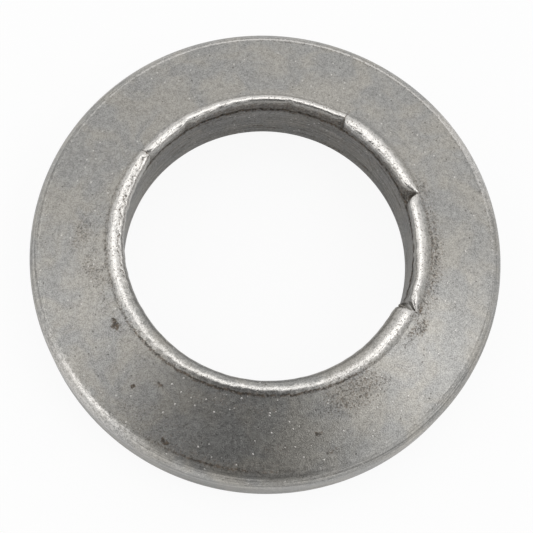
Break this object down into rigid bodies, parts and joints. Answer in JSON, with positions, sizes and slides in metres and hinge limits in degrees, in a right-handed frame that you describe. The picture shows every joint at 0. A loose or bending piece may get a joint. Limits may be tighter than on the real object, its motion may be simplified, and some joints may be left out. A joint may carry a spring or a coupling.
{
  "type": "belleville washer",
  "caption": "Thick conical spring washer with a sloping upper face, a rounded rim, a slightly hollow underside and a rolled, torn lip round its bore.",
  "frame": {"origin": "on the bore axis, in the plane of the landing that the washer rests on", "axes": "+Z along the bore axis, from the landing up to the rolled lip; +X and +Y across, free to choose on a round part"},
  "size_m": [0.031, 0.031, 0.0064],
  "materials": {
    "steel": "satin, tumbled"
  },
  "bodies": {
    "root": {"washer": "steel"}
  },
  "joints": []
}
